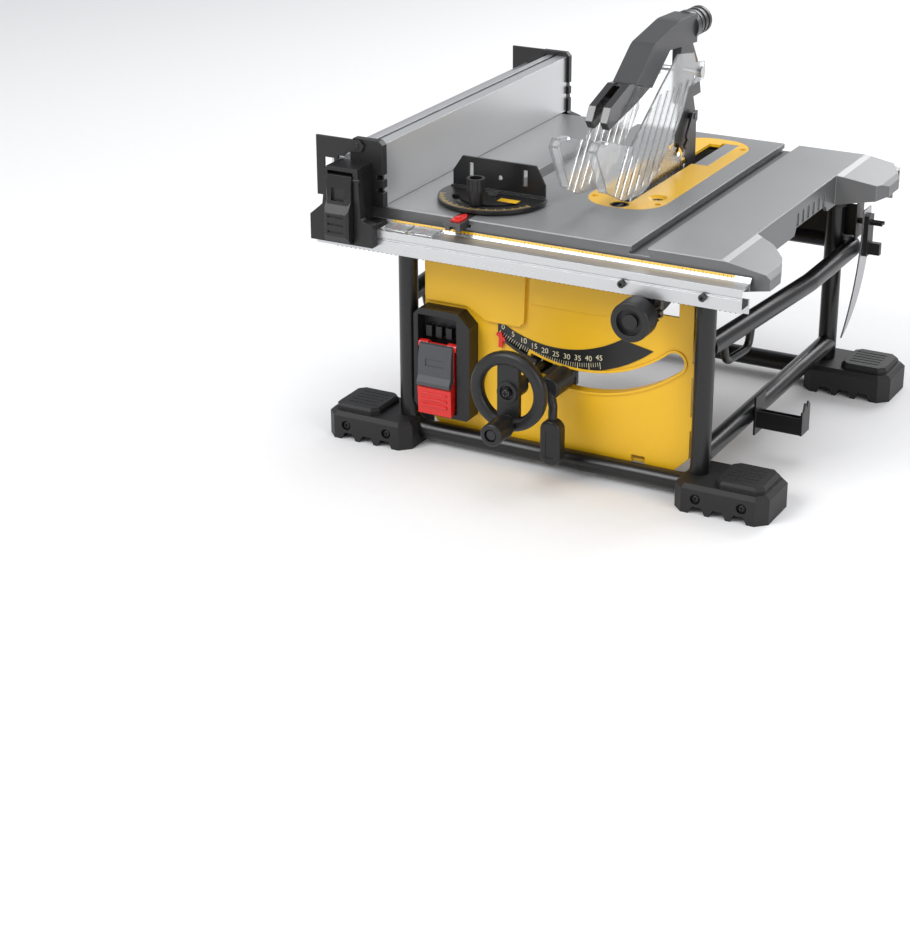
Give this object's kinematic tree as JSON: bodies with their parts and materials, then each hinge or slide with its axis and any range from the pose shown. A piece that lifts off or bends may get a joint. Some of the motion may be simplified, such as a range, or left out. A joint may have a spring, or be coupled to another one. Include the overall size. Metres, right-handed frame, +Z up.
{
  "type": "table saw",
  "caption": "Compact benchtop table saw with tilting blade, clear side guards, rip fence on rack rails and a miter gauge, on a tube cage with moulded feet.",
  "frame": {"origin": "on the floor, at the centre of the four bench-bolt holes in the feet", "axes": "+Z up out of the table; +X to the operator's right; +Y away from the operator"},
  "size_m": [0.5985, 0.647, 0.51],
  "materials": {
    "tube_black": "satin black powder coat",
    "foot_rubber": "moulded",
    "screw_steel": "blackened",
    "socket_plastic": "moulded",
    "table_alloy": "ground and lacquered",
    "insert_yellow": "satin paint",
    "lock_plastic": "moulded",
    "track_steel": "painted",
    "cradle_steel": "painted",
    "rod_steel": "polished",
    "screw_thread": "turned",
    "wheel_plastic": "moulded",
    "lever_plastic": "moulded",
    "pointer_red": "gloss",
    "carriage_alloy": "as cast",
    "motor_black": "moulded",
    "armature_copper": "varnished",
    "arbor_steel": "turned",
    "blade_steel": "ground",
    "shroud_plastic": "moulded",
    "knife_steel": "dark",
    "pawl_steel": "hardened",
    "arm_plastic": "moulded",
    "fork_plastic": "gloss",
    "clear_plastic": "clear moulded",
    "pin_steel": "turned",
    "rail_alloy": "extruded",
    "rack_steel": "blackened",
    "slide_plastic": "moulded",
    "cross_steel": "drawn",
    "knob_plastic": "moulded",
    "fence_alloy": "extruded",
    "cap_plastic": "moulded",
    "saddle_plastic": "moulded",
    "latch_plastic": "moulded",
    "support_black": "satin",
    "support_alloy": "extruded",
    "panel_yellow": "moulded",
    "scale_black": "printed",
    "switch_plastic": "moulded",
    "button_green": "gloss",
    "paddle_red": "gloss",
    "cover_grey": "moulded",
    "bridge_black": "satin",
    "gland_rubber": "matt",
    "hook_black": "satin",
    "clamp_plastic": "moulded",
    "spare_steel": "ground",
    "bar_steel": "blackened",
    "head_black": "satin",
    "miter_knob_black": "moulded"
  },
  "bodies": {
    "base": {"end_frames": "tube_black", "side_tubes": "tube_black", "upper_hoop": "tube_black", "feet": "foot_rubber", "foot_screws": "screw_steel", "post_sockets": "socket_plastic", "table": "table_alloy", "throat_plate": "insert_yellow", "track_plates": "track_steel", "rail_slides": "slide_plastic", "front_panel": "panel_yellow", "bevel_scale": "scale_black", "switch_bezel": "switch_plastic", "rear_bridge": "bridge_black", "cord_gland": "gland_rubber", "storage_hook": "hook_black", "storage_clamp": "clamp_plastic", "spare_knife": "spare_steel"},
    "tilt": {"tilt_cradle": "cradle_steel", "guide_rods": "rod_steel", "bevel_pointer": "pointer_red"},
    "lift": {"lift_carriage": "carriage_alloy", "motor_can": "motor_black", "blade_shroud": "shroud_plastic", "riving_knife": "knife_steel", "guard_arm": "arm_plastic", "guard_fork": "fork_plastic"},
    "blade": {"arbor": "arbor_steel", "saw_blade": "blade_steel"},
    "armature": {"armature": "armature_copper"},
    "screw": {"lift_screw": "screw_thread"},
    "wheel": {"handwheel": "wheel_plastic", "wheel_shaft": "screw_thread"},
    "crank": {"crank_knob": "wheel_plastic"},
    "bevel_lock": {"bevel_lock": "lever_plastic"},
    "guard_pin": {"shield_pin": "pin_steel"},
    "shield_left": {"left_shield": "clear_plastic"},
    "shield_right": {"right_shield": "clear_plastic"},
    "pawls": {"kickback_pawls": "pawl_steel"},
    "rails": {"rails": "rail_alloy", "racks": "rack_steel", "fence_beam": "fence_alloy", "fence_caps": "cap_plastic", "front_saddle": "saddle_plastic", "rear_saddle": "saddle_plastic"},
    "knob": {"cross_shaft": "cross_steel", "adjust_knob": "knob_plastic"},
    "latch_front": {"front_latch": "latch_plastic"},
    "latch_rear": {"rear_latch": "latch_plastic"},
    "support": {"support_arms": "support_black", "support_strip": "support_alloy"},
    "rail_lock": {"rail_lock": "knob_plastic"},
    "throat_lock": {"throat_lock": "lock_plastic"},
    "start_button": {"start_button": "button_green"},
    "stop_paddle": {"stop_paddle": "paddle_red", "paddle_cover": "cover_grey"},
    "miter_bar": {"miter_bar": "bar_steel", "miter_pointer": "pointer_red"},
    "miter_head": {"miter_head": "head_black"},
    "miter_knob": {"miter_knob": "miter_knob_black"}
  },
  "joints": [
    {"name": "blade_tilt", "type": "hinge", "parent": "base", "child": "tilt", "pos_m": [0.0335, 0, 0.3115], "axis": [0, -1, 0], "range_deg": [0, 45]},
    {"name": "blade_lift", "type": "slide", "parent": "tilt", "child": "lift", "axis": [0, 0, 1], "range_m": [-0.0451, 0.0201]},
    {"name": "wheel_turn", "type": "hinge", "parent": "tilt", "child": "wheel", "pos_m": [-0.01446, -0.3, 0.12869], "axis": [0, -1, 0], "range_deg": [-810, 360]},
    {"name": "screw_turn", "type": "hinge", "parent": "tilt", "child": "screw", "pos_m": [-0.01446, -0.1, 0.2], "axis": [0, 0, 1], "range_deg": [-361, 811]},
    {"name": "crank_spin", "type": "hinge", "parent": "wheel", "child": "crank", "pos_m": [-0.01446, -0.33, 0.08869], "axis": [0, -1, 0], "continuous": true},
    {"name": "bevel_lock_turn", "type": "hinge", "parent": "tilt", "child": "bevel_lock", "pos_m": [0.01338, -0.23, 0.12005], "axis": [0, -1, 0], "range_deg": [-40, 30]},
    {"name": "blade_spin", "type": "hinge", "parent": "lift", "child": "blade", "pos_m": [0.0335, 0.008, 0.2515], "axis": [1, 0, 0], "continuous": true},
    {"name": "armature_spin", "type": "hinge", "parent": "lift", "child": "armature", "pos_m": [-0.07, 0.008, 0.21775], "axis": [1, 0, 0], "continuous": true},
    {"name": "guard_pin_turn", "type": "hinge", "parent": "lift", "child": "guard_pin", "pos_m": [0.0335, 0.062, 0.441], "axis": [-1, 0, 0], "range_deg": [-7, 15]},
    {"name": "left_shield_turn", "type": "hinge", "parent": "guard_pin", "child": "shield_left", "pos_m": [0.0335, 0.062, 0.441], "axis": [-1, 0, 0], "range_deg": [0, 9.2]},
    {"name": "right_shield_turn", "type": "hinge", "parent": "guard_pin", "child": "shield_right", "pos_m": [0.0335, 0.062, 0.441], "axis": [-1, 0, 0], "range_deg": [0, 35]},
    {"name": "pawl_turn", "type": "hinge", "parent": "lift", "child": "pawls", "pos_m": [0.0335, 0.104, 0.372], "axis": [-1, 0, 0], "range_deg": [-25, 56]},
    {"name": "rails_slide", "type": "slide", "parent": "base", "child": "rails", "axis": [1, 0, 0], "range_m": [-0.057, 0.033]},
    {"name": "rail_knob_turn", "type": "hinge", "parent": "base", "child": "knob", "pos_m": [0.139, 0, 0.2415], "axis": [0, 1, 0], "range_deg": [-194, 113]},
    {"name": "front_latch_turn", "type": "hinge", "parent": "rails", "child": "latch_front", "pos_m": [-0.249, -0.285, 0.352], "axis": [-1, 0, 0], "range_deg": [0, 75]},
    {"name": "rear_latch_turn", "type": "hinge", "parent": "rails", "child": "latch_rear", "pos_m": [-0.249, 0.285, 0.352], "axis": [1, 0, 0], "range_deg": [0, 75]},
    {"name": "support_turn", "type": "hinge", "parent": "rails", "child": "support", "pos_m": [-0.245, 0, 0.3845], "axis": [0, 1, 0], "range_deg": [0, 170]},
    {"name": "rail_lock_turn", "type": "hinge", "parent": "base", "child": "rail_lock", "pos_m": [0.18, -0.196, 0.228], "axis": [1, 0, 0], "range_deg": [0, 60]},
    {"name": "throat_lock_turn", "type": "hinge", "parent": "base", "child": "throat_lock", "pos_m": [0.0335, -0.104, 0.31], "axis": [0, 0, 1], "range_deg": [0, 90]},
    {"name": "start_press", "type": "slide", "parent": "base", "child": "start_button", "axis": [0, 1, 0], "range_m": [0, 0.003], "stiffness_N_per_m": 300},
    {"name": "paddle_lift", "type": "hinge", "parent": "base", "child": "stop_paddle", "pos_m": [-0.145, -0.225, 0.137], "axis": [-1, 0, 0], "range_deg": [0, 75]},
    {"name": "miter_slide", "type": "slide", "parent": "base", "child": "miter_bar", "axis": [0, 1, 0], "range_m": [-0.12, 0.2]},
    {"name": "miter_angle", "type": "hinge", "parent": "miter_bar", "child": "miter_head", "pos_m": [-0.109, -0.16, 0.316], "axis": [0, 0, 1], "range_deg": [-60, 60]},
    {"name": "miter_knob_turn", "type": "hinge", "parent": "miter_bar", "child": "miter_knob", "pos_m": [-0.109, -0.2055, 0.33], "axis": [0, 0, 1], "continuous": true}
  ],
  "couplings": [
    {"joint": "blade_lift", "follows": "wheel_turn", "m_per_rad": 0.003183},
    {"joint": "screw_turn", "follows": "wheel_turn", "ratio": -1},
    {"joint": "guard_pin_turn", "follows": "wheel_turn", "ratio": -0.017825},
    {"joint": "pawl_turn", "follows": "wheel_turn", "ratio": -0.067907},
    {"joint": "left_shield_turn", "follows": "blade_tilt", "ratio": 0.2},
    {"joint": "armature_spin", "follows": "blade_spin", "ratio": -3.0909},
    {"joint": "rail_knob_turn", "follows": "rails_slide", "rad_per_m": 58.824}
  ]
}
